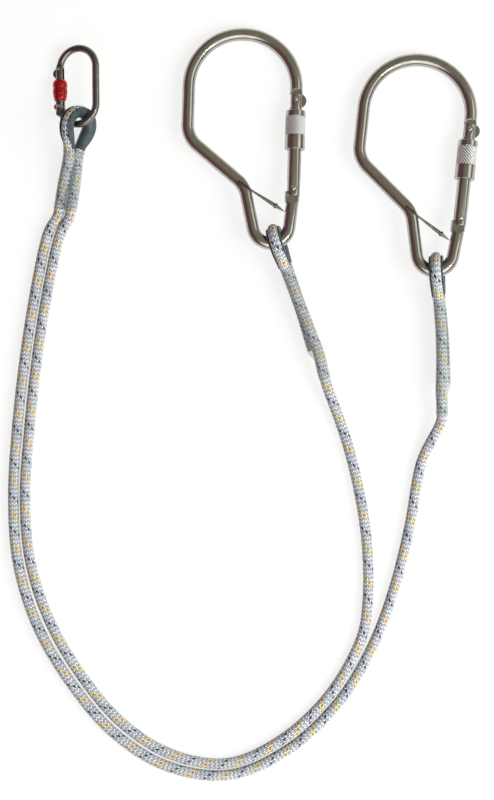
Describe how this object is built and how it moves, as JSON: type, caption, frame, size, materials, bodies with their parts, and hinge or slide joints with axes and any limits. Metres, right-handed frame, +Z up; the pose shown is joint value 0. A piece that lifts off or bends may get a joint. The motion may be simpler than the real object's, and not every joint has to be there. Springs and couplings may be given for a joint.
{
  "type": "twin-leg rope lanyard with connectors",
  "caption": "Forked rope lanyard with an oval screw-lock karabiner at the harness end and a large screw-lock hook on each leg, laid flat.",
  "frame": {"origin": "on the ground, under the middle of the connectors, rope eyes and splices (the free rope legs left out)", "axes": "+Z up from the ground that the lanyard lies on; +Y from the rope bight towards the connectors' noses; +X to the right, from the harness end to the hooks"},
  "size_m": [0.5181, 0.8265, 0.0449],
  "materials": {
    "rope": "braided sheath, matt",
    "thimble": "moulded, satin",
    "clear_sleeve": "clear, glossy",
    "thread": "bonded thread",
    "polished_steel": "polished, zinc tone",
    "dark_steel": "polished, dark",
    "bright_steel": "turned, bright",
    "spring_steel": "drawn wire",
    "red_anodised": "red anodised, satin"
  },
  "bodies": {
    "rope_and_splices": {"harness_eye_rope": "rope", "left_eye_rope": "rope", "right_eye_rope": "rope", "left_leg_rope": "rope", "right_leg_rope": "rope", "harness_thimble": "thimble", "harness_splice_sleeve": "clear_sleeve", "harness_stitching": "thread", "left_thimble": "thimble", "left_splice_sleeve": "clear_sleeve", "left_stitching": "thread", "right_thimble": "thimble", "right_splice_sleeve": "clear_sleeve", "right_stitching": "thread"},
    "karabiner_bar": {"karabiner_body": "dark_steel"},
    "karabiner_gate": {"karabiner_gate": "dark_steel", "karabiner_hinge_rivet": "bright_steel", "karabiner_nose_pin": "bright_steel", "karabiner_gate_spring": "spring_steel"},
    "karabiner_lock": {"karabiner_lock_sleeve": "red_anodised"},
    "karabiner_plunger": {"karabiner_spring_plunger": "bright_steel"},
    "left_hook_bar": {"left_hook_body": "polished_steel", "left_hook_captive_bar": "dark_steel"},
    "left_hook_gate": {"left_hook_gate": "polished_steel", "left_hook_hinge_rivet": "bright_steel", "left_hook_nose_pin": "bright_steel", "left_hook_gate_spring": "spring_steel"},
    "left_hook_lock": {"left_hook_lock_sleeve": "polished_steel"},
    "left_hook_plunger": {"left_hook_spring_plunger": "bright_steel"},
    "right_hook_bar": {"right_hook_body": "polished_steel", "right_hook_captive_bar": "dark_steel"},
    "right_hook_gate": {"right_hook_gate": "polished_steel", "right_hook_hinge_rivet": "bright_steel", "right_hook_nose_pin": "bright_steel", "right_hook_gate_spring": "spring_steel"},
    "right_hook_lock": {"right_hook_lock_sleeve": "polished_steel"},
    "right_hook_plunger": {"right_hook_spring_plunger": "bright_steel"}
  },
  "joints": [
    {"name": "karabiner_swing", "type": "hinge", "parent": "rope_and_splices", "child": "karabiner_bar", "pos_m": [-0.20526, 0.10581, 0.01964], "axis": [-0.9267, -0.0394, -0.3738], "range_deg": [-90, 90]},
    {"name": "karabiner_gate_hinge", "type": "hinge", "parent": "karabiner_bar", "child": "karabiner_gate", "pos_m": [-0.2258, 0.1263, 0.01008], "axis": [0.3755, -0.0555, -0.9251], "range_deg": [0, 30]},
    {"name": "karabiner_lock_slide", "type": "slide", "parent": "karabiner_gate", "child": "karabiner_lock", "axis": [-0.0157, 0.9977, -0.0662], "range_m": [-0.002, 0.0017]},
    {"name": "karabiner_plunger_slide", "type": "slide", "parent": "karabiner_gate", "child": "karabiner_plunger", "axis": [-0.0157, 0.9977, -0.0662], "range_m": [0, 0.0009]},
    {"name": "left_hook_swing", "type": "hinge", "parent": "rope_and_splices", "child": "left_hook_bar", "pos_m": [0.01214, -0.02377, 0.02299], "axis": [0.9397, 0.3411, -0.0258], "range_deg": [-90, 90]},
    {"name": "left_hook_gate_hinge", "type": "hinge", "parent": "left_hook_bar", "child": "left_hook_gate", "pos_m": [0.03, 0.0353, 0.01883], "axis": [0.0021, 0.0697, 0.9976], "range_deg": [0, 45]},
    {"name": "left_hook_lock_slide", "type": "slide", "parent": "left_hook_gate", "child": "left_hook_lock", "axis": [0.0301, 0.9971, -0.0697], "range_m": [-0.008, 0.0027]},
    {"name": "left_hook_plunger_slide", "type": "slide", "parent": "left_hook_gate", "child": "left_hook_plunger", "axis": [0.0301, 0.9971, -0.0697], "range_m": [0, 0.002]},
    {"name": "right_hook_swing", "type": "hinge", "parent": "rope_and_splices", "child": "right_hook_bar", "pos_m": [0.18627, -0.055, 0.02299], "axis": [0.9945, 0.104, -0.0149], "range_deg": [-90, 90]},
    {"name": "right_hook_gate_hinge", "type": "hinge", "parent": "right_hook_bar", "child": "right_hook_gate", "pos_m": [0.2121, 0.003, 0.01878], "axis": [0.0078, 0.069, 0.9976], "range_deg": [0, 45]},
    {"name": "right_hook_lock_slide", "type": "slide", "parent": "right_hook_gate", "child": "right_hook_lock", "axis": [0.1119, 0.9913, -0.0694], "range_m": [-0.008, 0.0027]},
    {"name": "right_hook_plunger_slide", "type": "slide", "parent": "right_hook_gate", "child": "right_hook_plunger", "axis": [0.1119, 0.9913, -0.0694], "range_m": [0, 0.002]}
  ],
  "couplings": [
    {"joint": "karabiner_plunger_slide", "follows": "karabiner_gate_hinge", "m_per_rad": 0.0017189},
    {"joint": "left_hook_plunger_slide", "follows": "left_hook_gate_hinge", "m_per_rad": 0.0025465},
    {"joint": "right_hook_plunger_slide", "follows": "right_hook_gate_hinge", "m_per_rad": 0.0025465}
  ]
}
